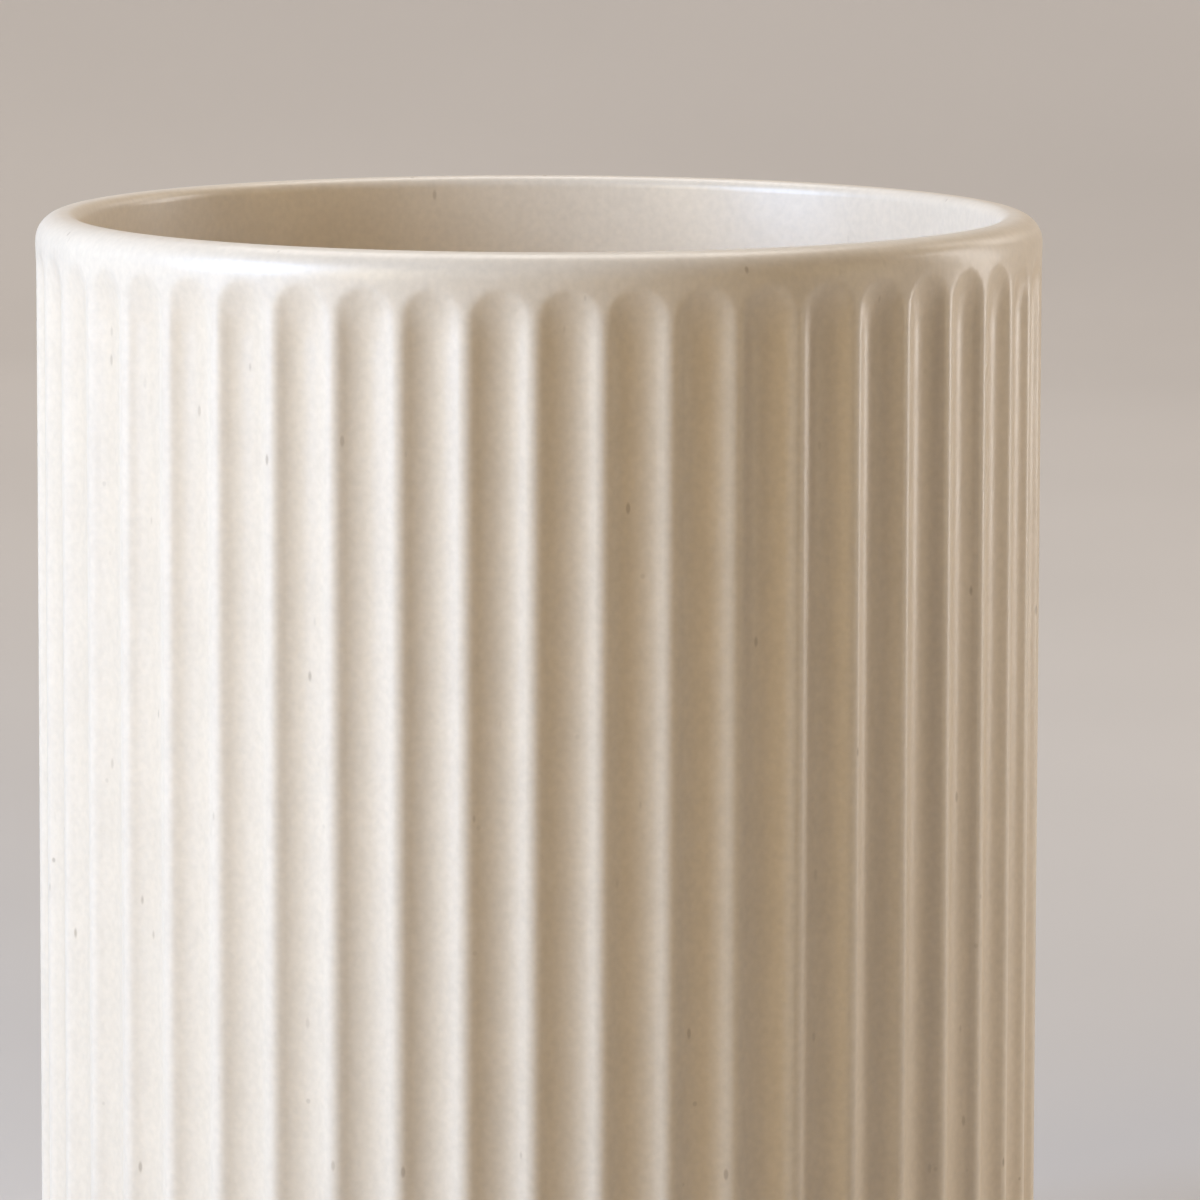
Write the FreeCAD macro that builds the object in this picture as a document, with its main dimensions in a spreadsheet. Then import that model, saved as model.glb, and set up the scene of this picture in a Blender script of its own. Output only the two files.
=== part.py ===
"""Utensil crock: a fluted stoneware pot with a cork pad stuck in the recess under its floor.

Millimetres, +Z up. The origin is on the pot's axis, in the plane that the cork pad rests on.
"""

import FreeCAD, Part
import enum
import math
import os

import Sketcher

# Driving sizes: name, value and meaning; lengths in millimetres
SIZES = [
    ("outer_diameter", 150, "pot across the ridges between flutes"),
    ("overall_height", 180, "rim above the resting plane"),
    ("wall_thickness", 6.5, "ridge to bore"),
    ("rim_flat", 1, "level top of the rim, between its outer round and its inner bevel"),
    ("rim_inner_bevel", 1.5, "inside edge of the rim"),
    ("floor_thickness", 7, "clay under the inside floor"),
    ("floor_bevel", 6, "inside corner between wall and floor"),
    ("foot_bevel", 3, "outside corner at the foot"),
    ("foot_ring_width", 11, "wall surface to the recess under the floor"),
    ("recess_depth", 2, "recess under the floor, above the foot ring"),
    ("flute_count", 48, "flutes round the pot"),
    ("flute_depth", 1.45, "ridge to the bottom of a flute"),
    ("ridge_land", 2.1, "wall left between neighbouring flutes"),
    ("rim_band", 5.2, "rim to the tops of the arches"),
    ("pad_proud", 1, "cork below the foot ring"),
    ("pad_clearance", 0.8, "gap round the pad in the recess"),
    ("pad_edge_chamfer", 0.4, "lower edge of the pad"),
    ("adhesive_thickness", 0.2, "double-sided sheet above the pad"),
    ("adhesive_margin", 1.5, "edge of the sheet inside the edge of the pad"),
    ("cut_overrun", 2, "how far the flute cut starts below the resting plane"),
]

# Sums of driving sizes that several features share, written as expressions
OUTER_RADIUS = "(sizes.outer_diameter / 2)"
RECESS_RADIUS = f"({OUTER_RADIUS} - sizes.foot_ring_width)"
RECESS_HEIGHT = "(sizes.pad_proud + sizes.recess_depth)"
RIM_ROUND_RADIUS = "(sizes.wall_thickness - sizes.rim_flat - sizes.rim_inner_bevel)"
PAD_RADIUS = f"({RECESS_RADIUS} - sizes.pad_clearance)"
PAD_THICKNESS = f"({RECESS_HEIGHT} - sizes.adhesive_thickness)"
FLUTE_HALF_WIDTH = "((pi * sizes.outer_diameter / sizes.flute_count - sizes.ridge_land) / 2)"
FLUTE_RADIUS = f"(({FLUTE_HALF_WIDTH} ^ 2 + sizes.flute_depth ^ 2) / (2 * sizes.flute_depth))"
FLUTE_CENTRE = f"({OUTER_RADIUS} - sizes.flute_depth + {FLUTE_RADIUS})"
ARCH_HEIGHT = f"(sizes.overall_height - sizes.rim_band - {FLUTE_HALF_WIDTH})"

# Angles
QUARTER_TURN = math.pi / 2
FULL_TURN_DEGREES = 360


class Axis(enum.IntEnum):
    """Sketcher's numbers for a sketch's own axes."""

    HORIZONTAL = -1
    VERTICAL = -2


class Place(enum.IntEnum):
    """Sketcher's numbers for the places on a line or an arc."""

    START = 1
    END = 2
    CENTRE = 3


ORIGIN = (Axis.HORIZONTAL, Place.START)

document = FreeCAD.newDocument("utensil_crock")
sheet = document.addObject("Spreadsheet::Sheet", "sizes")


def fill_sheet():
    """One row for each driving size: its meaning, and its value under the alias that the features use."""
    for row, (alias, value, meaning) in enumerate(SIZES, start=1):
        sheet.set(f"A{row}", meaning)
        sheet.set(f"B{row}", str(value))
        sheet.setAlias(f"B{row}", alias)
    document.recompute()


def value_of(expression):
    """The number that an expression on the sheet comes to, for a sketch's first geometry."""
    return float(sheet.evalExpression(expression))


def new_body(label):
    """An empty body whose label names the piece."""
    body = document.addObject("PartDesign::Body", label)
    body.Label = label
    return body


def origin_part(body, role):
    """One of the body's own planes or axes."""
    return next(part for part in body.Origin.OriginFeatures if part.Role == role)


def new_sketch(body, name, plane):
    """A sketch on one of the body's own planes."""
    sketch = body.newObject("Sketcher::SketchObject", name)
    sketch.AttachmentSupport = [(origin_part(body, plane), "")]
    sketch.MapMode = "FlatFace"
    return sketch


def line(sketch, start, end):
    """A line segment, drawn between two points."""
    return sketch.addGeometry(Part.LineSegment(FreeCAD.Vector(*start), FreeCAD.Vector(*end)), False)


def quarter_arc(sketch, centre, radius):
    """A quarter of a circle, drawn from due right of its centre to straight above it."""
    circle = Part.Circle(FreeCAD.Vector(*centre), FreeCAD.Vector(0, 0, 1), radius)
    return sketch.addGeometry(Part.ArcOfCircle(circle, 0, QUARTER_TURN), False)


def relate(sketch, kind, *places):
    """A constraint without a size."""
    sketch.addConstraint(Sketcher.Constraint(kind, *places))


def dimension(sketch, name, expression, kind, *places):
    """A constraint whose size follows the sheet."""
    index = sketch.addConstraint(Sketcher.Constraint(kind, *places, value_of(expression)))
    sketch.renameConstraint(index, name)
    sketch.setExpression(f"Constraints.{name}", expression)


def pot_profile(pot):
    """Half section of the pot: recessed underside, foot ring, wall, rounded rim, bore and floor."""
    outer = value_of(OUTER_RADIUS)
    inner = value_of(f"{OUTER_RADIUS} - sizes.wall_thickness")
    recess = value_of(RECESS_RADIUS)
    foot = value_of("sizes.pad_proud")
    underside = value_of(RECESS_HEIGHT)
    floor = value_of(f"{RECESS_HEIGHT} + sizes.floor_thickness")
    top = value_of("sizes.overall_height")
    foot_bevel = value_of("sizes.foot_bevel")
    floor_bevel = value_of("sizes.floor_bevel")
    rim_bevel = value_of("sizes.rim_inner_bevel")
    rim_round = value_of(RIM_ROUND_RADIUS)

    sketch = new_sketch(pot, "pot_profile", "XZ_Plane")
    under_line = line(sketch, (0, underside), (recess, underside))
    recess_line = line(sketch, (recess, underside), (recess, foot))
    foot_line = line(sketch, (recess, foot), (outer - foot_bevel, foot))
    foot_slope = line(sketch, (outer - foot_bevel, foot), (outer, foot + foot_bevel))
    wall_line = line(sketch, (outer, foot + foot_bevel), (outer, top - rim_round))
    rim_arc = quarter_arc(sketch, (outer - rim_round, top - rim_round), rim_round)
    rim_line = line(sketch, (outer - rim_round, top), (inner + rim_bevel, top))
    rim_slope = line(sketch, (inner + rim_bevel, top), (inner, top - rim_bevel))
    bore_line = line(sketch, (inner, top - rim_bevel), (inner, floor + floor_bevel))
    floor_slope = line(sketch, (inner, floor + floor_bevel), (inner - floor_bevel, floor))
    floor_line = line(sketch, (inner - floor_bevel, floor), (0, floor))
    axis_line = line(sketch, (0, floor), (0, underside))

    corners = [under_line, recess_line, foot_line, foot_slope, wall_line]
    for before, after in zip(corners, corners[1:]):
        relate(sketch, "Coincident", before, Place.END, after, Place.START)
    relate(sketch, "Tangent", wall_line, Place.END, rim_arc, Place.START)
    relate(sketch, "Tangent", rim_arc, Place.END, rim_line, Place.START)
    corners = [rim_line, rim_slope, bore_line, floor_slope, floor_line, axis_line, under_line]
    for before, after in zip(corners, corners[1:]):
        relate(sketch, "Coincident", before, Place.END, after, Place.START)
    for level in (under_line, foot_line, rim_line, floor_line):
        relate(sketch, "Horizontal", level)
    for upright in (recess_line, wall_line, bore_line):
        relate(sketch, "Vertical", upright)
    relate(sketch, "PointOnObject", axis_line, Place.START, Axis.VERTICAL)
    relate(sketch, "PointOnObject", axis_line, Place.END, Axis.VERTICAL)

    dimension(sketch, "outer_radius", OUTER_RADIUS, "DistanceX", *ORIGIN, wall_line, Place.START)
    dimension(
        sketch, "wall", "sizes.wall_thickness", "DistanceX", bore_line, Place.START, wall_line, Place.END
    )
    dimension(sketch, "recess_radius", RECESS_RADIUS, "DistanceX", *ORIGIN, recess_line, Place.START)
    dimension(sketch, "foot_height", "sizes.pad_proud", "DistanceY", *ORIGIN, foot_line, Place.START)
    dimension(
        sketch, "recess", "sizes.recess_depth", "DistanceY", foot_line, Place.START, under_line, Place.END
    )
    dimension(
        sketch, "floor", "sizes.floor_thickness", "DistanceY", axis_line, Place.END, axis_line, Place.START
    )
    dimension(sketch, "height", "sizes.overall_height", "DistanceY", *ORIGIN, rim_line, Place.START)
    dimension(sketch, "rim_round", RIM_ROUND_RADIUS, "Radius", rim_arc)
    for slope, size, low, high in [
        (foot_slope, "foot_bevel", Place.START, Place.END),
        (rim_slope, "rim_inner_bevel", Place.END, Place.START),
        (floor_slope, "floor_bevel", Place.END, Place.START),
    ]:
        dimension(sketch, f"{size}_width", f"sizes.{size}", "DistanceX", slope, low, slope, high)
        dimension(sketch, f"{size}_height", f"sizes.{size}", "DistanceY", slope, low, slope, high)
    return sketch


def flute_profile(pot):
    """Half section of the round-nosed cutter that leaves one flute, drawn outwards from the cutter's axis."""
    radius = value_of(FLUTE_RADIUS)
    arch = value_of(ARCH_HEIGHT)
    start = -value_of("sizes.cut_overrun")

    sketch = new_sketch(pot, "flute_profile", "XZ_Plane")
    sketch.setExpression("AttachmentOffset.Base.x", FLUTE_CENTRE)
    end_line = line(sketch, (0, start), (radius, start))
    side_line = line(sketch, (radius, start), (radius, arch))
    nose_arc = quarter_arc(sketch, (0, arch), radius)
    axis_line = line(sketch, (0, arch + radius), (0, start))

    relate(sketch, "Coincident", end_line, Place.END, side_line, Place.START)
    relate(sketch, "Tangent", side_line, Place.END, nose_arc, Place.START)
    relate(sketch, "Coincident", nose_arc, Place.END, axis_line, Place.START)
    relate(sketch, "Coincident", axis_line, Place.END, end_line, Place.START)
    relate(sketch, "Horizontal", end_line)
    relate(sketch, "Vertical", side_line)
    for point in [(nose_arc, Place.CENTRE), (axis_line, Place.START), (axis_line, Place.END)]:
        relate(sketch, "PointOnObject", *point, Axis.VERTICAL)
    dimension(sketch, "flute_radius", FLUTE_RADIUS, "Radius", nose_arc)
    dimension(sketch, "arch_height", ARCH_HEIGHT, "DistanceY", *ORIGIN, nose_arc, Place.CENTRE)
    dimension(sketch, "overrun", "sizes.cut_overrun", "DistanceY", axis_line, Place.END, *ORIGIN)
    return sketch


def stoneware_crock():
    """The pot: its section turned about the axis, then one arched flute, repeated all round."""
    pot = new_body("stoneware_crock")
    blank = pot.newObject("PartDesign::Revolution", "pot_blank")
    blank.Profile = pot_profile(pot)
    blank.ReferenceAxis = (origin_part(pot, "Z_Axis"), [""])
    blank.Angle = FULL_TURN_DEGREES
    document.recompute()

    profile = flute_profile(pot)
    flute = pot.newObject("PartDesign::Groove", "arched_flute")
    flute.Profile = profile
    flute.ReferenceAxis = (profile, ["V_Axis"])
    flute.Angle = FULL_TURN_DEGREES
    document.recompute()

    flutes = pot.newObject("PartDesign::PolarPattern", "arched_flutes")
    flutes.Originals = [flute]
    flutes.Axis = (origin_part(pot, "Z_Axis"), [""])
    flutes.Angle = FULL_TURN_DEGREES
    flutes.setExpression("Occurrences", "sizes.flute_count")
    pot.Tip = flutes
    document.recompute()

    for before, after in [(blank, flute), (flute, flutes)]:
        if not after.Shape.Volume < before.Shape.Volume:
            raise RuntimeError(f"{after.Name} cut nothing")
    return pot


def disc(body, name, radius, bottom, thickness):
    """A round disc about the axis, standing on a height."""
    sketch = new_sketch(body, f"{name}_outline", "XY_Plane")
    sketch.setExpression("AttachmentOffset.Base.z", bottom)
    axis = FreeCAD.Vector(0, 0, 1)
    circle = sketch.addGeometry(Part.Circle(FreeCAD.Vector(0, 0, 0), axis, value_of(radius)), False)
    relate(sketch, "Coincident", circle, Place.CENTRE, *ORIGIN)
    dimension(sketch, "disc_radius", radius, "Radius", circle)
    pad = body.newObject("PartDesign::Pad", name)
    pad.Profile = sketch
    pad.setExpression("Length", thickness)
    document.recompute()
    return pad


def pad_adhesive_disc():
    """The double-sided sheet between the pot's recess and the cork."""
    body = new_body("pad_adhesive_disc")
    disc(body, "sheet", f"{PAD_RADIUS} - sizes.adhesive_margin", PAD_THICKNESS, "sizes.adhesive_thickness")
    return body


def cork_base_pad():
    """The cork disc that the crock stands on, with its lower edge broken."""
    body = new_body("cork_base_pad")
    cork = disc(body, "cork", PAD_RADIUS, "0", PAD_THICKNESS)
    middle = cork.Shape.CenterOfMass.z
    edges = enumerate(cork.Shape.Edges, start=1)
    lower = [f"Edge{number}" for number, edge in edges if edge.BoundBox.ZMax < middle]
    chamfer = body.newObject("PartDesign::Chamfer", "cork_edge")
    chamfer.Base = (cork, lower)
    chamfer.setExpression("Size", "sizes.pad_edge_chamfer")
    body.Tip = chamfer
    document.recompute()
    return body


def check(bodies):
    """Stops unless every feature worked and every piece is one sound solid."""
    for item in document.Objects:
        if "Invalid" in item.State or "Error" in item.State:
            raise RuntimeError(f"{item.Name} failed: {item.State}")
    for body in bodies:
        if body.Shape.isNull() or not body.Shape.isValid() or len(body.Shape.Solids) != 1:
            raise RuntimeError(f"{body.Label} is not one sound solid")


def write(bodies):
    """One file for each piece, named by its label."""
    os.makedirs("parts", exist_ok=True)
    for body in bodies:
        body.Shape.exportStep(f"parts/{body.Label}.step")


fill_sheet()
pieces = [stoneware_crock(), pad_adhesive_disc(), cork_base_pad()]
check(pieces)
write(pieces)
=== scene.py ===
"""Fluted stoneware utensil crock: its glazed pot, cork pad and studio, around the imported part.

Metres, +Z up, in the part's own frame: the origin is on the pot's axis, where the pad rests.
"""

import math

import bpy
from mathutils import Matrix, Vector


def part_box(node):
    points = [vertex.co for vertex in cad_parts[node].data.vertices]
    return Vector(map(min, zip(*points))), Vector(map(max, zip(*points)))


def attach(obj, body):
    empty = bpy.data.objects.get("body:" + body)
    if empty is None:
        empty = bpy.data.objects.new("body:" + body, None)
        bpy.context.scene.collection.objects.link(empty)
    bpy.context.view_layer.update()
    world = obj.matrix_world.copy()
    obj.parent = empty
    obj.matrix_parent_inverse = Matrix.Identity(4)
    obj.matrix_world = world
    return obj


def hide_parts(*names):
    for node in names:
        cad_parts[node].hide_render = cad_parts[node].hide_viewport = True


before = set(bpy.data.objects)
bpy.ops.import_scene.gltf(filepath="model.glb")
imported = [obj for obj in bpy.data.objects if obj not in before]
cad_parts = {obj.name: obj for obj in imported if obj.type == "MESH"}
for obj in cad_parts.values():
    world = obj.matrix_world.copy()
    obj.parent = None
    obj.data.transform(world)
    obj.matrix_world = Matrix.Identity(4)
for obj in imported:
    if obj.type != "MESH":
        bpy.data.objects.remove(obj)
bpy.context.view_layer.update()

bl_info = {
    "name": "Fluted utensil crock",
    "version": (1, 0, 0),
    "blender": (4, 5, 0),
    "location": "3D View > Sidebar > Crock",
    "description": "Builds a fluted stoneware crock with a cork pad, and a studio to see it in",
    "category": "Object",
}

POT_LOW, POT_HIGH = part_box("stoneware_crock")
PAD_LOW, PAD_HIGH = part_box("cork_base_pad")
FILM_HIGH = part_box("pad_adhesive_disc")[1]

# Room between the pad and the wall of its recess
PAD_CLEARANCE = 0.0008

# Steps of the pot's mesh: columns across one flute, rows along each stretch of its section,
# and how far below the arches the close rows start, in metres
COLUMNS_PER_FLUTE = 16
FLAT_ROWS = 3
CORNER_ROWS = 4
FOOT_ROWS = 12
WALL_ROWS = 14
ARCH_ROWS = 34
RIM_ROWS = 12
INNER_EDGE_ROWS = 8
BORE_ROWS = 5
FLOOR_ROWS = 10
ARCH_LEAD = 0.006

# Steps of the pad's mesh: columns round it, then rows along its face, chamfer, edge and back
PAD_COLUMNS = 300
PAD_FACE_ROWS = 60
PAD_CHAMFER_ROWS = 3
PAD_EDGE_ROWS = 4
PAD_BACK_ROWS = 5

# Steps of the floor's mesh: columns round it, then rows along its level and its bend
SWEEP_COLUMNS = 128
SWEEP_LEVEL_ROWS = 3
SWEEP_BEND_ROWS = 12

# Points nearer than this are one point, at the seam and on the axis
MERGE_DISTANCE = 1e-5

# Stray of the fired wall: waves in a metre, and their detail
WOBBLE_SCALE = 26.0
WOBBLE_DETAIL = 1.0

# How steeply the pad's pits rise into a granule
PIT_STEEPNESS = 6

# Ends of a noise that become a texture's lowest and highest value, and its middle
NOISE_ENDS = (0.3, 0.7)
NOISE_MIDDLE = 0.5

# Share of a speck's radius that is at full strength
SPECK_CORE_SHARE = 0.4

# Sockets of a Mix node that carry numbers and colours
MIX_NUMBERS = (2, 3)
MIX_COLOURS = (6, 7)
MIX_COLOUR_RESULT = 2

# Soft patches: size in metres, lowest and highest value, and detail
# The first row gives soft patches to the painted shade in the flute hollows
HOLLOW_SHADE_PATCHES = (0.018, 0.8, 1.0, 2.0)
GLAZE_CLOUDS = (0.009, 0.955, 1.0, 3.0)
GLAZE_GRAIN = (0.0011, 0.93, 1.0, 2.0)
GLAZE_LINE_STRAY = (0.006, -0.0003, 0.0003, 2.0)
GLAZE_ROUGHNESS = (0.012, 0.31, 0.37, 2.0)
GLAZE_PEEL = (0.0016, 0.0, 1.0, 1.0)
CORK_SHADES = (0.0009, 0.35, 0.75, 2.0)
CORK_ROUGHNESS = (0.002, 0.78, 0.95, 2.0)
CORK_GRAIN = (0.0007, 0.0, 1.0, 2.0)
FILM_TONES = (0.006, 0.0, 0.35, 2.0)
FILM_ROUGHNESS = (0.004, 0.45, 0.65, 2.0)
FILM_RIPPLE = (0.0012, 0.0, 1.0, 2.0)
FLOOR_TONES = (0.35, 0.0, 0.06, 2.0)
FLOOR_ROUGHNESS = (0.2, 0.75, 0.85, 2.0)

# Specks: spacing and size in metres, and the share of places that hold one
LEANING_FLECKS = (0.0042, 0.00045, 0.65)
ROUND_SPECKS = (0.0075, 0.0005, 0.5)
CLAY_SPECKS = (0.0016, 0.0003, 0.5)
CORK_FLECKS = (0.0035, 0.0007, 0.35)

# Turn in radians, and squeeze along the third axis, that make flecks lean
FLECK_LEAN = (0.5, 0.6, 0.0)
FLECK_STRETCH = 0.42

# Bumps: height in metres, and strength
GLAZE_PEEL_BUMP = (0.00002, 0.6)
CORK_BUMP = (0.0001, 0.8)
FILM_BUMP = (0.00003, 0.5)

# How the painted shade in the flute hollows grows with a flute's depth, the blur of the glaze's lower edge in
# metres, and the two surfaces
HOLLOW_SHADE_POWER = 0.8
GLAZE_LINE_BLUR = 0.0001
GLAZE_IOR = 1.5
CLAY_ROUGHNESS = 0.9

# Dark gaps between cork granules: their width as a share of a granule, and their strength
CORK_GAP_SHARE = 0.12
CORK_GAP_STRENGTH = 0.6

# The photograph's frame and focal length in pixels, and the sensor's width
FRAME_PIXELS = 1200
CAMERA_FOCAL_PIXELS = 8403
SENSOR_WIDTH_MM = 36

# Softboxes round the pot: degrees to the camera's right, degrees up, metres away, then width and height
SOFTBOXES = {
    "key": (-72, 23, 1.15, (0.53, 0.8)),
    "front": (-44, 23, 1.15, (0.32, 0.8)),
    "fill": (72, 12, 1.15, (0.35, 0.8)),
    "side": (112, 12, 1.15, (0.14, 0.8)),
    "back": (135, 29, 1.34, (0.12, 0.5)),
    "rim": (180, 62, 1.3, (1.0, 0.6)),
}

# Sides on which the backdrop is lit: degrees to the camera's right, and a share of the power
BACKDROP_SIDES = {"backdrop_light": (180, 1.0), "left_backdrop_light": (-90, 0.5)}

# Where a backdrop light stands and aims, from the axis and above the floor, and its width and height
BACKDROP_LIGHT_RADIUS = 1.3
BACKDROP_LIGHT_HEIGHT = Vector((0, 0, 1.6))
BACKDROP_AIM_RADIUS = 2.9
BACKDROP_AIM_HEIGHT = Vector((0, 0, 0.6))
BACKDROP_LIGHT_SIZE = (1.6, 1.0)

# Where the softboxes aim, as a share of the pot's height
AIM_SHARE = 0.6


def length(name, description, default):
    """A size in metres that a user may change."""
    return bpy.props.FloatProperty(
        name=name,
        description=description,
        default=default,
        min=0,
        precision=5,
        subtype="DISTANCE",
        unit="LENGTH",
    )


def colour(name, description, default):
    """A linear colour that a user may change."""
    return bpy.props.FloatVectorProperty(
        name=name, description=description, default=default, size=3, min=0, max=1, subtype="COLOR"
    )


def share(name, description, default):
    """A number from nothing to all."""
    return bpy.props.FloatProperty(
        name=name, description=description, default=default, min=0, max=1, subtype="FACTOR"
    )


def power(name, description, default):
    """A light's power in watts."""
    return bpy.props.FloatProperty(
        name=name, description=description, default=default, min=0, subtype="POWER", unit="POWER"
    )


def angle(name, description, default):
    """An angle, given here in degrees."""
    return bpy.props.FloatProperty(
        name=name, description=description, default=math.radians(default), subtype="ANGLE", unit="ROTATION"
    )


class PotSizes(bpy.types.PropertyGroup):
    """Sizes of the pot's section."""

    outer_radius: length("Outer radius", "Axis to the ridges between flutes", round(POT_HIGH.x, 4))
    rim_height: length("Rim height", "Rim above the surface that the pad rests on", round(POT_HIGH.z, 4))
    foot_height: length("Foot height", "Foot ring above that surface", round(POT_LOW.z, 4))
    recess_height: length("Recess height", "Underside of the floor", round(FILM_HIGH.z, 4))
    recess_radius: length("Recess radius", "Wall round the pad", round(PAD_HIGH.x, 4) + PAD_CLEARANCE)
    wall_thickness: length("Wall", "Ridge to bore", 0.0065)
    floor_thickness: length("Floor", "Clay under the inside floor", 0.007)
    rim_round: length("Rim shoulder", "Radius of the rim's outer shoulder", 0.004)
    rim_inner_round: length("Rim inner edge", "Radius of the rim's inner edge", 0.0018)
    floor_round: length("Floor corner", "Radius of the inside corner", 0.008)
    foot_round: length("Foot edge", "Radius of the outside edge at the foot", 0.003)
    clay_corner: length("Clay corner", "Radius of the small corners of the recess", 0.0005)
    wobble: length("Wobble", "How far the fired wall strays from true", 0.00005)


class FluteSizes(bpy.types.PropertyGroup):
    """Sizes of the arched flutes."""

    count: bpy.props.IntProperty(name="Flutes", description="Flutes round the pot", default=48, min=3)
    channel_radius: length("Channel radius", "Hollow of a flute", 0.0067)
    ridge_radius: length("Ridge radius", "Rounding of a ridge", 0.002)
    ridge_land: length("Ridge land", "Flat crest left between flutes", 0.0003)
    arch_drop: length("Arch drop", "Rim to the middle of an arch", 0.009)
    taper: length("Taper", "Length over which a flute grows shallow below its arch", 0.009)
    taper_depth: share("Depth at the arch", "Share of a flute's depth that is left at its arch", 0.45)
    foot_softness: length("Foot softness", "How softly a flute runs out at the foot", 0.0008)


class GlazeFinish(bpy.types.PropertyGroup):
    """Colours of the glaze and the bare clay."""

    glaze: colour("Glaze", "Glaze on the ridges and the rim", (0.80, 0.69, 0.55))
    # Painted shade: a darker, warmer colour that the flute hollows take by depth, standing in for their shade
    # and bounced light
    pool: colour("Pooled glaze", "Glaze that gathers in the flutes", (0.72, 0.585, 0.42))
    hollow_shade_share: share("Pooling", "How much of the pooled colour the flutes take", 0.5)
    speck: colour("Specks", "Iron specks under the glaze", (0.36, 0.27, 0.18))
    speck_share: share("Speck strength", "How strongly the specks show through", 0.65)
    clay: colour("Bare clay", "Unglazed foot and recess", (0.56, 0.42, 0.29))
    glaze_line: length("Glaze line", "Where the glaze stops above the foot", 0.0009)


class PadFinish(bpy.types.PropertyGroup):
    """Sizes and colours of the cork pad and its adhesive film."""

    edge_chamfer: length("Edge chamfer", "Lower edge of the pad", 0.0004)
    granule: length("Granule", "Size of a cork granule", 0.0026)
    pit_depth: length("Pits", "Depth of the gaps between granules", 0.00018)
    cork_light: colour("Light cork", "Pale granules", (0.52, 0.335, 0.175))
    cork_dark: colour("Dark cork", "Bark flecks and gaps", (0.19, 0.095, 0.045))
    film: colour("Film", "Double-sided adhesive film", (0.66, 0.58, 0.44))


class StudioSettings(bpy.types.PropertyGroup):
    """The floor, the lights and the camera."""

    floor: colour("Floor", "Plain pale floor and backdrop", (0.56, 0.52, 0.475))
    floor_radius: length("Floor radius", "Level floor before it curves up", 1.7)
    sweep_radius: length("Sweep radius", "Curve from floor to backdrop", 1.4)
    sweep_height: length("Sweep height", "Top of the backdrop", 2.6)
    key_power: power("Key light", "Large cool softbox on the left", 18.8)
    key_tint: colour("Key tint", "Colour of the key light", (0.458, 0.653, 1.0))
    front_power: power("Front light", "Weak warm softbox left of the camera", 4.6)
    front_tint: colour("Front tint", "Colour of the front light", (1.0, 0.79, 0.42))
    fill_power: power("Fill light", "Weak warm softbox on the right", 1.9)
    fill_tint: colour("Fill tint", "Colour of the fill light", (1.0, 0.82, 0.54))
    side_power: power("Side light", "Strip to the right of the pot, which draws its ridges", 5.0)
    side_tint: colour("Side tint", "Colour of the side light", (1.0, 0.97, 0.95))
    back_power: power("Back light", "Strip behind on the right, which draws the rim's shoulder", 1.3)
    back_tint: colour("Back tint", "Colour of the back light", (1.0, 0.97, 0.93))
    rim_power: power("Rim light", "Softbox overhead, behind the pot, which draws the rim's top edge", 7.8)
    rim_tint: colour("Rim tint", "Colour of the rim light", (1.0, 0.96, 0.91))
    backdrop_power: power("Backdrop light", "Lights the floor and backdrop behind the pot", 26.5)
    backdrop_tint: colour("Backdrop tint", "Colour of the backdrop light", (1.0, 0.965, 0.945))
    ambient: colour("Ambient", "Light from all round", (0.06, 0.036, 0.024))
    camera_distance: length("Camera distance", "Pot's axis to the camera, level", 1.25)
    camera_height: length("Camera height", "Camera above the floor", 0.2815)
    camera_azimuth: angle("Camera azimuth", "Turn of the camera round the pot", -3.26)
    camera_pitch: angle("Camera pitch", "Downward tilt of the camera", 7.287)
    camera_pan: angle("Camera pan", "Turn of the view to the right of the pot", 0.422)
    camera_roll: angle("Camera roll", "Lean of the camera", 0.135)


def plug(tree, socket, value):
    """Links an output to a socket, or sets the socket's own value."""
    if isinstance(value, bpy.types.NodeSocket):
        tree.links.new(value, socket)
    else:
        socket.default_value = value


def add_node(tree, kind, values=None, **settings):
    """A node with its settings made, then its sockets, by name or number, plugged."""
    node = tree.nodes.new(kind)
    for name, value in settings.items():
        setattr(node, name, value)
    for key, value in (values or {}).items():
        plug(tree, node.inputs[key], value)
    return node


def calc(tree, operation, *values):
    """The result of a Math node."""
    return add_node(tree, "ShaderNodeMath", dict(enumerate(values)), operation=operation).outputs[0]


def new_group(name, kind, inputs, outputs):
    """An empty node group with named sockets, and its input and output nodes."""
    tree = bpy.data.node_groups.new(name, kind)
    for direction, sockets in (("INPUT", inputs), ("OUTPUT", outputs)):
        for label, socket_type in sockets.items():
            tree.interface.new_socket(label, in_out=direction, socket_type=socket_type)
    return tree, tree.nodes.new("NodeGroupInput").outputs, tree.nodes.new("NodeGroupOutput").inputs


def place_group(tree, group, values):
    """The outputs of a group placed in a tree, with its inputs plugged."""
    kind = "ShaderNodeGroup" if tree.bl_idname == "ShaderNodeTree" else "GeometryNodeGroup"
    return add_node(tree, kind, values, node_tree=group).outputs


def straight(start, end, steps):
    """Points from one end of a straight stretch up to, and without, the other."""
    return [tuple(a + (b - a) * step / steps for a, b in zip(start, end)) for step in range(steps)]


def round_corner(centre, radius, first, last, steps):
    """Points along an arc between two angles in degrees, without the last."""
    turns = [math.radians(first + (last - first) * step / steps) for step in range(steps)]
    return [(centre[0] + radius * math.cos(turn), centre[1] + radius * math.sin(turn)) for turn in turns]


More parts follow.
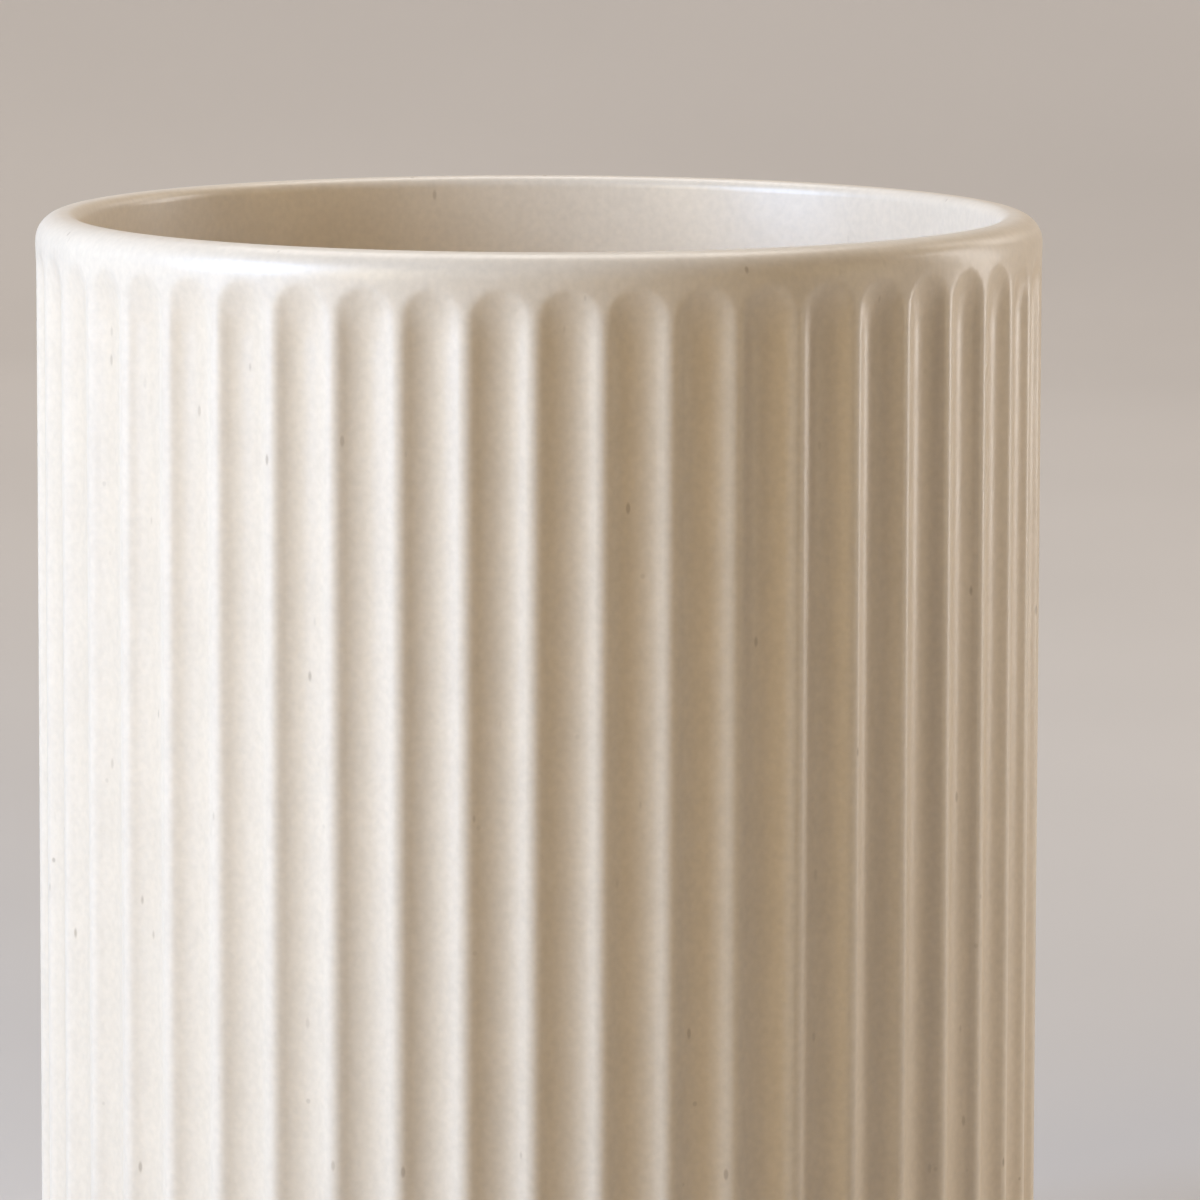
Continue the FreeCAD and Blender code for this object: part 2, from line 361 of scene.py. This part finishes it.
def pot_section(pot, arch_height):
    """Half section of the pot, from the middle of its underside over the rim to the middle of its floor."""
    outer = pot.outer_radius
    bore = outer - pot.wall_thickness
    top = pot.rim_height
    foot = pot.foot_height
    under = pot.recess_height
    recess = pot.recess_radius
    floor = under + pot.floor_thickness
    corner = pot.clay_corner
    foot_round = pot.foot_round
    shoulder = pot.rim_round
    lip = pot.rim_inner_round
    cove = pot.floor_round
    arch_start = arch_height - ARCH_LEAD
    return (
        straight((0, under), (recess - corner, under), FLAT_ROWS)
        + round_corner((recess - corner, under - corner), corner, 90, 0, CORNER_ROWS)
        + straight((recess, under - corner), (recess, foot + corner), FLAT_ROWS)
        + round_corner((recess + corner, foot + corner), corner, 180, 270, CORNER_ROWS)
        + straight((recess + corner, foot), (outer - foot_round, foot), FLAT_ROWS)
        + round_corner((outer - foot_round, foot + foot_round), foot_round, 270, 360, FOOT_ROWS)
        + straight((outer, foot + foot_round), (outer, arch_start), WALL_ROWS)
        + straight((outer, arch_start), (outer, top - shoulder), ARCH_ROWS)
        + round_corner((outer - shoulder, top - shoulder), shoulder, 0, 90, RIM_ROWS)
        + straight((outer - shoulder, top), (bore + lip, top), FLAT_ROWS)
        + round_corner((bore + lip, top - lip), lip, 90, 180, INNER_EDGE_ROWS)
        + straight((bore, top - lip), (bore, floor + cove), BORE_ROWS)
        + round_corner((bore - cove, floor + cove), cove, 0, -90, FLOOR_ROWS)
        + straight((bore - cove, floor), (0, floor), BORE_ROWS)
        + [(0, floor)]
    )


def pad_section(pad):
    """Half section of the cork pad, from the middle of its lower face to the middle of its upper."""
    radius = round(PAD_HIGH.x, 4)
    bottom, top = PAD_LOW.z, PAD_HIGH.z
    chamfer = pad.edge_chamfer
    return (
        straight((0, bottom), (radius - chamfer, bottom), PAD_FACE_ROWS)
        + straight((radius - chamfer, bottom), (radius, bottom + chamfer), PAD_CHAMFER_ROWS)
        + straight((radius, bottom + chamfer), (radius, top), PAD_EDGE_ROWS)
        + straight((radius, top), (0, top), PAD_BACK_ROWS)
        + [(0, top)]
    )


def sweep_section(studio):
    """Half section of the floor and backdrop, from the middle of the floor to the top edge."""
    level, bend = studio.floor_radius, studio.sweep_radius
    return (
        straight((0, 0), (level, 0), SWEEP_LEVEL_ROWS)
        + round_corner((level, bend), bend, 270, 360, SWEEP_BEND_ROWS)
        + [(level + bend, bend), (level + bend, studio.sweep_height)]
    )


def turned_group():
    """Geometry nodes that turn a row of section points about the axis into a surface."""
    tree, given, result = new_group(
        "turned_surface",
        "GeometryNodeTree",
        {"Section": "NodeSocketGeometry", "Columns": "NodeSocketInt"},
        {"Surface": "NodeSocketGeometry", "Turn": "NodeSocketFloat", "Section Point": "NodeSocketVector"},
    )
    size = add_node(tree, "GeometryNodeAttributeDomainSize", {"Geometry": given["Section"]}, component="MESH")
    rows = size.outputs["Point Count"]
    grid_values = {"Vertices X": calc(tree, "ADD", given["Columns"], 1), "Vertices Y": rows}
    grid = add_node(tree, "GeometryNodeMeshGrid", grid_values)
    index = tree.nodes.new("GeometryNodeInputIndex").outputs[0]
    column = calc(tree, "FLOOR", calc(tree, "DIVIDE", index, rows))
    turn = calc(tree, "MULTIPLY", calc(tree, "DIVIDE", column, given["Columns"]), math.tau)
    place = tree.nodes.new("GeometryNodeInputPosition").outputs[0]
    sample = add_node(tree, "GeometryNodeSampleIndex", data_type="FLOAT_VECTOR", domain="POINT")
    plug(tree, sample.inputs["Geometry"], given["Section"])
    plug(tree, sample.inputs["Value"], place)
    plug(tree, sample.inputs["Index"], calc(tree, "MODULO", index, rows))
    point = sample.outputs["Value"]
    moves = {"Geometry": grid.outputs["Mesh"], "Position": turned_place(tree, point, turn)}
    surface = add_node(tree, "GeometryNodeSetPosition", moves)
    plug(tree, result["Surface"], surface.outputs["Geometry"])
    plug(tree, result["Turn"], turn)
    plug(tree, result["Section Point"], point)
    return tree


def turned_place(tree, point, turn, radius=None):
    """A section point turned about the axis, at its own radius or another."""
    parts = add_node(tree, "ShaderNodeSeparateXYZ", {0: point}).outputs
    radius = radius or parts["X"]
    x = calc(tree, "MULTIPLY", radius, calc(tree, "COSINE", turn))
    y = calc(tree, "MULTIPLY", radius, calc(tree, "SINE", turn))
    return add_node(tree, "ShaderNodeCombineXYZ", {"X": x, "Y": y, "Z": parts["Z"]}).outputs[0]


def close_surface(tree, surface, material, result):
    """Joins the seam and the points on the axis, smooths the shading and sets the material."""
    merged = add_node(tree, "GeometryNodeMergeByDistance", {"Geometry": surface, "Distance": MERGE_DISTANCE})
    smooth = add_node(tree, "GeometryNodeSetShadeSmooth", {0: merged.outputs[0]})
    real = add_node(tree, "GeometryNodeRealizeInstances", {0: smooth.outputs[0]})
    dressed = add_node(tree, "GeometryNodeSetMaterial", {"Geometry": real.outputs[0], "Material": material})
    plug(tree, result, dressed.outputs[0])


def arc_height(tree, radius, offset_square):
    """Height of a circle above its centre, at an offset given by its square."""
    left = calc(tree, "SUBTRACT", calc(tree, "POWER", radius, 2), offset_square)
    return calc(tree, "SQRT", calc(tree, "MAXIMUM", left, 0))


def flute_depth_field(tree, given, turn, height):
    """Depth of the flutes: a hollow arc and a ridge arc, by distance from a flute's middle line.

    Above the arch's middle the distance is measured from that middle, which rounds the flute's end.
    Below its arch the flute grows shallow, so the end fades into the plain band.
    """
    half_pitch = calc(tree, "DIVIDE", math.pi, given["Flute Count"])
    astray = calc(tree, "WRAP", turn, half_pitch, calc(tree, "MULTIPLY", half_pitch, -1))
    across = calc(tree, "MULTIPLY", astray, given["Wall Radius"])
    above = calc(tree, "MAXIMUM", calc(tree, "SUBTRACT", height, given["Arch Height"]), 0)
    squares = calc(tree, "ADD", calc(tree, "POWER", across, 2), calc(tree, "POWER", above, 2))
    distance = calc(tree, "SQRT", squares)

    hollow = arc_height(tree, given["Channel Radius"], squares)
    hollow = calc(tree, "ADD", calc(tree, "SUBTRACT", given["Flute Depth"], given["Channel Radius"]), hollow)
    to_crest = calc(tree, "MAXIMUM", calc(tree, "SUBTRACT", given["Half Width"], distance), 0)
    ridge_arc = arc_height(tree, given["Ridge Radius"], calc(tree, "POWER", to_crest, 2))
    ridge = calc(tree, "SUBTRACT", given["Ridge Radius"], ridge_arc)

    widths = {0: distance, 1: given["Hollow Width"]}
    in_hollow = add_node(tree, "FunctionNodeCompare", widths, operation="LESS_THAN").outputs[0]
    switch = add_node(tree, "GeometryNodeSwitch", input_type="FLOAT")
    plug(tree, switch.inputs["Switch"], in_hollow)
    plug(tree, switch.inputs["False"], ridge)
    plug(tree, switch.inputs["True"], hollow)

    arch_top = calc(tree, "ADD", given["Arch Height"], given["Half Width"])
    heights = {"Value": height, "To Min": 1.0}
    taper = add_node(tree, "ShaderNodeMapRange", heights, interpolation_type="SMOOTHSTEP")
    plug(tree, taper.inputs["From Min"], calc(tree, "SUBTRACT", arch_top, given["Taper"]))
    plug(tree, taper.inputs["From Max"], arch_top)
    plug(tree, taper.inputs["To Max"], given["Taper Depth"])
    return calc(tree, "MULTIPLY", switch.outputs[0], taper.outputs[0])


def fluted_pot_tree(turned):
    """Geometry nodes of the pot: its turned section, with the flutes taken out of the wall."""
    numbers = ["Wall Radius", "Flute Depth", "Channel Radius", "Ridge Radius", "Half Width", "Hollow Width"]
    numbers += ["Arch Height", "Taper", "Taper Depth", "Foot Softness", "Wobble"]
    inputs = {"Section": "NodeSocketGeometry", "Flute Count": "NodeSocketInt", "Columns": "NodeSocketInt"}
    inputs |= {name: "NodeSocketFloat" for name in numbers}
    inputs |= {"Glaze": "NodeSocketMaterial"}
    tree, given, result = new_group("fluted_pot", "GeometryNodeTree", inputs, {"Pot": "NodeSocketGeometry"})
    base = place_group(tree, turned, {"Section": given["Section"], "Columns": given["Columns"]})
    parts = add_node(tree, "ShaderNodeSeparateXYZ", {0: base["Section Point"]}).outputs
    depth = flute_depth_field(tree, given, base["Turn"], parts["Z"])

    inset = calc(tree, "SUBTRACT", given["Wall Radius"], parts["X"])
    softness = calc(tree, "MINIMUM", inset, given["Foot Softness"])
    cut = calc(tree, "SMOOTH_MAX", depth, inset, softness)
    noise = add_node(tree, "ShaderNodeTexNoise", {"Scale": WOBBLE_SCALE, "Detail": WOBBLE_DETAIL})
    stray = calc(tree, "MULTIPLY", calc(tree, "SUBTRACT", noise.outputs[0], NOISE_MIDDLE), given["Wobble"])
    stray = calc(tree, "MULTIPLY", stray, calc(tree, "DIVIDE", parts["X"], given["Wall Radius"]))
    radius = calc(tree, "ADD", calc(tree, "SUBTRACT", given["Wall Radius"], cut), stray)
    place = turned_place(tree, base["Section Point"], base["Turn"], radius)

    moved = add_node(tree, "GeometryNodeSetPosition", {"Geometry": base["Surface"], "Position": place})
    outside = calc(tree, "MAXIMUM", calc(tree, "SUBTRACT", depth, inset), 0)
    hollow_share = calc(tree, "DIVIDE", outside, given["Flute Depth"])
    kept = add_node(tree, "GeometryNodeStoreNamedAttribute", data_type="FLOAT", domain="POINT")
    plug(tree, kept.inputs["Geometry"], moved.outputs[0])
    plug(tree, kept.inputs["Name"], "flute")
    plug(tree, kept.inputs["Value"], hollow_share)
    close_surface(tree, kept.outputs[0], given["Glaze"], result["Pot"])
    return tree


def cork_pad_tree(turned):
    """Geometry nodes of the pad: its turned section, pitted along the gaps between cork granules."""
    inputs = {"Section": "NodeSocketGeometry", "Columns": "NodeSocketInt", "Granule": "NodeSocketFloat"}
    inputs |= {"Pit Depth": "NodeSocketFloat", "Cork": "NodeSocketMaterial"}
    tree, given, result = new_group("cork_pad", "GeometryNodeTree", inputs, {"Pad": "NodeSocketGeometry"})
    base = place_group(tree, turned, {"Section": given["Section"], "Columns": given["Columns"]})
    scale = calc(tree, "DIVIDE", 1, given["Granule"])
    cells = add_node(tree, "ShaderNodeTexVoronoi", {"Scale": scale}, feature="DISTANCE_TO_EDGE")
    into_granule = calc(tree, "MULTIPLY", cells.outputs[0], PIT_STEEPNESS)
    gap = calc(tree, "SUBTRACT", 1, calc(tree, "MINIMUM", into_granule, 1))
    depth = calc(tree, "MULTIPLY", calc(tree, "MULTIPLY", gap, given["Pit Depth"]), -1)
    normal = tree.nodes.new("GeometryNodeInputNormal").outputs[0]
    offset = add_node(tree, "ShaderNodeVectorMath", {0: normal, "Scale": depth}, operation="SCALE").outputs[0]
    joins = {"Geometry": base["Surface"], "Distance": MERGE_DISTANCE}
    joined = add_node(tree, "GeometryNodeMergeByDistance", joins)
    moved = add_node(tree, "GeometryNodeSetPosition", {"Geometry": joined.outputs[0], "Offset": offset})
    close_surface(tree, moved.outputs[0], given["Cork"], result["Pad"])
    return tree


def sweep_tree(turned):
    """Geometry nodes of the floor and backdrop: a turned section."""
    inputs = {"Section": "NodeSocketGeometry", "Columns": "NodeSocketInt", "Floor": "NodeSocketMaterial"}
    outputs = {"Sweep": "NodeSocketGeometry"}
    tree, given, result = new_group("studio_sweep", "GeometryNodeTree", inputs, outputs)
    base = place_group(tree, turned, {"Section": given["Section"], "Columns": given["Columns"]})
    close_surface(tree, base["Surface"], given["Floor"], result["Sweep"])
    return tree


def shared_group(name, builder):
    """A node group, built the first time that it is asked for."""
    return bpy.data.node_groups.get(name) or builder()


def grown_piece(name, section, tree, values):
    """An object whose mesh is what the tree makes of a section, with no modifier left on it."""
    seed = bpy.data.meshes.new(f"{name}_section")
    seed.from_pydata([(radius, 0, height) for radius, height in section], [], [])
    piece = bpy.data.objects.new(name, seed)
    bpy.context.scene.collection.objects.link(piece)
    modifier = piece.modifiers.new(name, "NODES")
    modifier.node_group = tree
    for item in tree.interface.items_tree:
        if item.in_out == "INPUT" and item.name in values:
            modifier[item.identifier] = values[item.name]
    evaluated = piece.evaluated_get(bpy.context.evaluated_depsgraph_get())
    mesh = bpy.data.meshes.new_from_object(evaluated)
    piece.modifiers.clear()
    piece.data = mesh
    mesh.name = name
    bpy.data.meshes.remove(seed)
    return piece


def cloud_group():
    """Shader nodes of a soft patchiness, between two values."""
    inputs = {"Vector": "NodeSocketVector", "Patch Size": "NodeSocketFloat", "Detail": "NodeSocketFloat"}
    inputs |= {"Low": "NodeSocketFloat", "High": "NodeSocketFloat"}
    tree, given, result = new_group("soft_patches", "ShaderNodeTree", inputs, {"Value": "NodeSocketFloat"})
    scale = calc(tree, "DIVIDE", 1, given["Patch Size"])
    noise_values = {"Vector": given["Vector"], "Scale": scale, "Detail": given["Detail"]}
    noise = add_node(tree, "ShaderNodeTexNoise", noise_values).outputs[0]
    ends = {"Value": noise, "From Min": NOISE_ENDS[0], "From Max": NOISE_ENDS[1]}
    spread = add_node(tree, "ShaderNodeMapRange", ends)
    plug(tree, spread.inputs["To Min"], given["Low"])
    plug(tree, spread.inputs["To Max"], given["High"])
    plug(tree, result["Value"], spread.outputs[0])
    return tree


def speck_group():
    """Shader nodes of scattered specks: a share of the cells of a pattern each hold one."""
    inputs = {"Vector": "NodeSocketVector", "Spacing": "NodeSocketFloat", "Size": "NodeSocketFloat"}
    inputs |= {"Chance": "NodeSocketFloat"}
    tree, given, result = new_group("scattered_specks", "ShaderNodeTree", inputs, {"Mask": "NodeSocketFloat"})
    scale = calc(tree, "DIVIDE", 1, given["Spacing"])
    cells = add_node(tree, "ShaderNodeTexVoronoi", {"Vector": given["Vector"], "Scale": scale})
    reach = calc(tree, "DIVIDE", given["Size"], given["Spacing"])
    away = {"Value": cells.outputs["Distance"]}
    edge = add_node(tree, "ShaderNodeMapRange", away, interpolation_type="SMOOTHSTEP")
    plug(tree, edge.inputs["From Min"], reach)
    plug(tree, edge.inputs["From Max"], calc(tree, "MULTIPLY", reach, SPECK_CORE_SHARE))
    draws = add_node(tree, "ShaderNodeSeparateColor", {0: cells.outputs["Color"]}).outputs
    chosen = calc(tree, "LESS_THAN", draws[0], given["Chance"])
    mask = calc(tree, "MULTIPLY", calc(tree, "MULTIPLY", edge.outputs[0], chosen), draws[1])
    plug(tree, result["Mask"], mask)
    return tree


def new_material(name):
    """A material with a bare Principled BSDF, and its tree, shader and object coordinates."""
    material = bpy.data.materials.new(name)
    material.use_nodes = True
    tree = material.node_tree
    shader = next(node for node in tree.nodes if node.type == "BSDF_PRINCIPLED")
    place = tree.nodes.new("ShaderNodeTexCoord").outputs["Object"]
    return material, tree, shader.inputs, place


def blend_colours(tree, factor, first, second, blend="MIX"):
    """Two colours mixed by a factor."""
    node = add_node(tree, "ShaderNodeMix", data_type="RGBA", blend_type=blend)
    plug(tree, node.inputs["Factor"], factor)
    for number, value in zip(MIX_COLOURS, (first, second)):
        plug(tree, node.inputs[number], value if isinstance(value, bpy.types.NodeSocket) else (*value, 1))
    return node.outputs[MIX_COLOUR_RESULT]


def blend_numbers(tree, factor, first, second):
    """Two numbers mixed by a factor."""
    values = {"Factor": factor, MIX_NUMBERS[0]: first, MIX_NUMBERS[1]: second}
    return add_node(tree, "ShaderNodeMix", values, data_type="FLOAT").outputs[0]


def grey(tree, value):
    """A colour with one value in all its channels."""
    return add_node(tree, "ShaderNodeCombineColor", {0: value, 1: value, 2: value}).outputs[0]


def patches(tree, place, size, low, high, detail):
    """A soft patchiness of one size, between two values."""
    group = shared_group("soft_patches", cloud_group)
    values = {"Vector": place, "Patch Size": size, "Detail": detail, "Low": low, "High": high}
    return place_group(tree, group, values)["Value"]


def specks(tree, place, spacing, size, chance):
    """Specks of one size and spacing."""
    group = shared_group("scattered_specks", speck_group)
    values = {"Vector": place, "Spacing": spacing, "Size": size, "Chance": chance}
    return place_group(tree, group, values)["Mask"]


def slanted(tree, place, turn, stretch):
    """Coordinates turned and squeezed along one axis, on which round specks become slanting flecks."""
    values = {"Vector": place, "Rotation": turn, "Scale": (1, 1, stretch)}
    return add_node(tree, "ShaderNodeMapping", values).outputs[0]


def bump(tree, height, distance, strength):
    """A normal raised by a height of up to a distance in metres."""
    values = {"Height": height, "Distance": distance, "Strength": strength}
    return add_node(tree, "ShaderNodeBump", values).outputs[0]


def glaze_material(finish, pot):
    """Satin glaze over stoneware: darker and warmer in the flute hollows as painted shade, faintly patchy and
    specked, bare at the foot.
    """
    material, tree, shader, place = new_material("satin_glaze")
    flute = add_node(tree, "ShaderNodeAttribute", attribute_name="flute").outputs["Fac"]
    # Painted shade: the flute hollows take a darker, warmer colour by their depth, in soft patches
    hollow_shade_amount = calc(tree, "MULTIPLY", calc(tree, "POWER", flute, HOLLOW_SHADE_POWER), finish.hollow_shade_share)
    hollow_shade_amount = calc(tree, "MULTIPLY", hollow_shade_amount, patches(tree, place, *HOLLOW_SHADE_PATCHES))
    body = blend_colours(tree, hollow_shade_amount, finish.glaze, finish.pool)
    tone = calc(tree, "MULTIPLY", patches(tree, place, *GLAZE_CLOUDS), patches(tree, place, *GLAZE_GRAIN))
    body = blend_colours(tree, 1.0, body, grey(tree, tone), "MULTIPLY")
    leaning = specks(tree, slanted(tree, place, FLECK_LEAN, FLECK_STRETCH), *LEANING_FLECKS)
    flecks = calc(tree, "MAXIMUM", leaning, specks(tree, place, *ROUND_SPECKS))
    body = blend_colours(tree, calc(tree, "MULTIPLY", flecks, finish.speck_share), body, finish.speck)

    height = add_node(tree, "ShaderNodeSeparateXYZ", {0: place}).outputs["Z"]
    line = pot.foot_height + finish.glaze_line
    edge = calc(tree, "ADD", height, patches(tree, place, *GLAZE_LINE_STRAY))
    ends = {"Value": edge, "From Min": line + GLAZE_LINE_BLUR, "From Max": line - GLAZE_LINE_BLUR}
    bare = add_node(tree, "ShaderNodeMapRange", ends).outputs[0]
    clay = blend_colours(tree, specks(tree, place, *CLAY_SPECKS), finish.clay, finish.speck)
    plug(tree, shader["Base Color"], blend_colours(tree, bare, body, clay))

    sheen = patches(tree, place, *GLAZE_ROUGHNESS)
    plug(tree, shader["Roughness"], blend_numbers(tree, bare, sheen, CLAY_ROUGHNESS))
    plug(tree, shader["Normal"], bump(tree, patches(tree, place, *GLAZE_PEEL), *GLAZE_PEEL_BUMP))
    shader["IOR"].default_value = GLAZE_IOR
    return material


def cork_material(pad):
    """Pressed cork: granules of several browns, with dark bark flecks and gaps."""
    material, tree, shader, place = new_material("pressed_cork")
    granules = {"Vector": place, "Scale": 1 / pad.granule}
    cells = add_node(tree, "ShaderNodeTexVoronoi", granules)
    draw = add_node(tree, "ShaderNodeSeparateColor", {0: cells.outputs["Color"]}).outputs[0]
    gaps = add_node(tree, "ShaderNodeTexVoronoi", granules, feature="DISTANCE_TO_EDGE")
    ends = {"Value": gaps.outputs[0], "From Min": CORK_GAP_SHARE, "From Max": 0.0}
    gap = add_node(tree, "ShaderNodeMapRange", ends).outputs[0]
    shade = calc(tree, "MULTIPLY", draw, patches(tree, place, *CORK_SHADES))
    body = blend_colours(tree, shade, pad.cork_light, pad.cork_dark)
    body = blend_colours(tree, calc(tree, "MULTIPLY", gap, CORK_GAP_STRENGTH), body, pad.cork_dark)
    flecks = specks(tree, place, *CORK_FLECKS)
    plug(tree, shader["Base Color"], blend_colours(tree, flecks, body, pad.cork_dark))
    plug(tree, shader["Roughness"], patches(tree, place, *CORK_ROUGHNESS))
    plug(tree, shader["Normal"], bump(tree, patches(tree, place, *CORK_GRAIN), *CORK_BUMP))
    return material


def film_material(pad):
    """Adhesive film: a dull tacky sheet with faint patches."""
    material, tree, shader, place = new_material("adhesive_film")
    tone = patches(tree, place, *FILM_TONES)
    plug(tree, shader["Base Color"], blend_colours(tree, tone, pad.film, pad.cork_light))
    plug(tree, shader["Roughness"], patches(tree, place, *FILM_ROUGHNESS))
    plug(tree, shader["Normal"], bump(tree, patches(tree, place, *FILM_RIPPLE), *FILM_BUMP))
    return material


def floor_material(studio):
    """Matt painted studio floor, faintly uneven."""
    material, tree, shader, place = new_material("studio_floor")
    tone = patches(tree, place, *FLOOR_TONES)
    plug(tree, shader["Base Color"], blend_colours(tree, tone, studio.floor, (0, 0, 0)))
    plug(tree, shader["Roughness"], patches(tree, place, *FLOOR_ROUGHNESS))
    return material


def ring_place(middle, turn, rise, reach):
    """A place round the pot: degrees to the camera's right, degrees up and metres away."""
    turn, rise = math.radians(turn), math.radians(rise)
    level = reach * math.cos(rise)
    return middle + Vector((level * math.sin(turn), -level * math.cos(turn), reach * math.sin(rise)))


def softbox(name, place, target, size, power_watts, tint):
    """A rectangular light aimed at a point, out of the camera's sight."""
    data = bpy.data.lights.new(name, "AREA")
    data.shape = "RECTANGLE"
    data.size, data.size_y = size
    data.energy = power_watts
    data.color = tint
    light = bpy.data.objects.new(name, data)
    light.location = place
    light.rotation_euler = (Vector(target) - Vector(place)).to_track_quat("-Z", "Y").to_euler()
    light.visible_camera = False
    bpy.context.scene.collection.objects.link(light)


def add_camera(studio):
    """The camera, where the photograph's stood."""
    data = bpy.data.cameras.new("camera")
    data.sensor_width = SENSOR_WIDTH_MM
    data.lens = CAMERA_FOCAL_PIXELS / FRAME_PIXELS * SENSOR_WIDTH_MM
    camera = bpy.data.objects.new("camera", data)
    bpy.context.scene.collection.objects.link(camera)
    azimuth = studio.camera_azimuth
    distance = studio.camera_distance
    place = (distance * math.sin(azimuth), -distance * math.cos(azimuth), studio.camera_height)
    camera.matrix_world = (
        Matrix.Translation(place)
        @ Matrix.Rotation(azimuth - studio.camera_pan, 4, "Z")
        @ Matrix.Rotation(math.pi / 2 - studio.camera_pitch, 4, "X")
        @ Matrix.Rotation(studio.camera_roll, 4, "Z")
    )
    bpy.context.scene.camera = camera


class CROCK_OT_fluted_pot(bpy.types.Operator):
    """Builds the glazed pot with its arched flutes"""

    bl_idname = "crock.fluted_pot"
    bl_label = "Fluted pot"

    def execute(self, context):
        pot, flutes = context.scene.crock_pot, context.scene.crock_flutes
        half_width = math.pi * pot.outer_radius / flutes.count - flutes.ridge_land / 2
        both_radii = flutes.channel_radius + flutes.ridge_radius
        steepest = math.asin(half_width / both_radii)
        arch_height = pot.rim_height - flutes.arch_drop
        values = {
            "Flute Count": flutes.count,
            "Columns": flutes.count * COLUMNS_PER_FLUTE,
            "Wall Radius": pot.outer_radius,
            "Flute Depth": both_radii * (1 - math.cos(steepest)),
            "Channel Radius": flutes.channel_radius,
            "Ridge Radius": flutes.ridge_radius,
            "Half Width": half_width,
            "Hollow Width": flutes.channel_radius * math.sin(steepest),
            "Arch Height": arch_height,
            "Taper": flutes.taper,
            "Taper Depth": flutes.taper_depth,
            "Foot Softness": flutes.foot_softness,
            "Wobble": pot.wobble,
            "Glaze": glaze_material(context.scene.crock_glaze, pot),
        }
        tree = fluted_pot_tree(shared_group("turned_surface", turned_group))
        piece = grown_piece("fluted_pot", pot_section(pot, arch_height), tree, values)
        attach(piece, "root")
        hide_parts("stoneware_crock")
        return {"FINISHED"}


class CROCK_OT_cork_pad(bpy.types.Operator):
    """Builds the cork pad that the pot stands on"""

    bl_idname = "crock.cork_pad"
    bl_label = "Cork pad"

    def execute(self, context):
        pad = context.scene.crock_pad
        values = {
            "Columns": PAD_COLUMNS,
            "Granule": pad.granule,
            "Pit Depth": pad.pit_depth,
            "Cork": cork_material(pad),
        }
        tree = cork_pad_tree(shared_group("turned_surface", turned_group))
        piece = grown_piece("cork_pad", pad_section(pad), tree, values)
        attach(piece, "root")
        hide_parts("cork_base_pad")
        return {"FINISHED"}


class CROCK_OT_adhesive_film(bpy.types.Operator):
    """Gives the film between pot and pad its finish"""

    bl_idname = "crock.adhesive_film"
    bl_label = "Adhesive film"

    def execute(self, context):
        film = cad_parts["pad_adhesive_disc"]
        finish = film_material(context.scene.crock_pad)
        for slot in film.material_slots:
            slot.material = finish
        return {"FINISHED"}


class CROCK_OT_studio(bpy.types.Operator):
    """Builds the floor, the lights and the camera"""

    bl_idname = "crock.studio"
    bl_label = "Studio"

    def execute(self, context):
        studio = context.scene.crock_studio
        tree = sweep_tree(shared_group("turned_surface", turned_group))
        values = {"Columns": SWEEP_COLUMNS, "Floor": floor_material(studio)}
        sweep = grown_piece("studio_sweep", sweep_section(studio), tree, values)
        middle = Vector((0, 0, context.scene.crock_pot.rim_height * AIM_SHARE))
        for name, (turn, rise, reach, size) in SOFTBOXES.items():
            place = ring_place(middle, turn, rise, reach)
            watts, tint = getattr(studio, f"{name}_power"), getattr(studio, f"{name}_tint")
            softbox(f"{name}_light", place, middle, size, watts, tint)
        for name, (turn, part) in BACKDROP_SIDES.items():
            place = ring_place(BACKDROP_LIGHT_HEIGHT, turn, 0, BACKDROP_LIGHT_RADIUS)
            target = ring_place(BACKDROP_AIM_HEIGHT, turn, 0, BACKDROP_AIM_RADIUS)
            watts = studio.backdrop_power * part
            softbox(name, place, target, BACKDROP_LIGHT_SIZE, watts, studio.backdrop_tint)
        world = bpy.data.worlds.new("studio_air")
        world.use_nodes = True
        background = next(node for node in world.node_tree.nodes if node.type == "BACKGROUND")
        background.inputs["Color"].default_value = (*studio.ambient, 1)
        context.scene.world = world
        context.scene.view_settings.view_transform = "Standard"
        add_camera(studio)
        return {"FINISHED"}


class CROCK_PT_panel(bpy.types.Panel):
    """Lists the crock's pieces and its studio"""

    bl_idname = "CROCK_PT_panel"
    bl_label = "Fluted crock"
    bl_space_type = "VIEW_3D"
    bl_region_type = "UI"
    bl_category = "Crock"

    def draw(self, context):
        for operator in OPERATORS:
            self.layout.operator(operator.bl_idname)


SETTINGS = {
    "crock_pot": PotSizes,
    "crock_flutes": FluteSizes,
    "crock_glaze": GlazeFinish,
    "crock_pad": PadFinish,
    "crock_studio": StudioSettings,
}
OPERATORS = [CROCK_OT_fluted_pot, CROCK_OT_cork_pad, CROCK_OT_adhesive_film, CROCK_OT_studio]


def register():
    """Registers the settings, the operators and the panel."""
    for name, group in SETTINGS.items():
        bpy.utils.register_class(group)
        setattr(bpy.types.Scene, name, bpy.props.PointerProperty(type=group))
    for operator in OPERATORS:
        bpy.utils.register_class(operator)
    bpy.utils.register_class(CROCK_PT_panel)


def unregister():
    """Takes away what register added."""
    bpy.utils.unregister_class(CROCK_PT_panel)
    for operator in OPERATORS:
        bpy.utils.unregister_class(operator)
    for name, group in SETTINGS.items():
        delattr(bpy.types.Scene, name)
        bpy.utils.unregister_class(group)


def main():
    """Builds every piece and the studio."""
    register()
    bpy.ops.crock.fluted_pot()
    bpy.ops.crock.cork_pad()
    bpy.ops.crock.adhesive_film()
    bpy.ops.crock.studio()


if __name__ == "__main__":
    main()
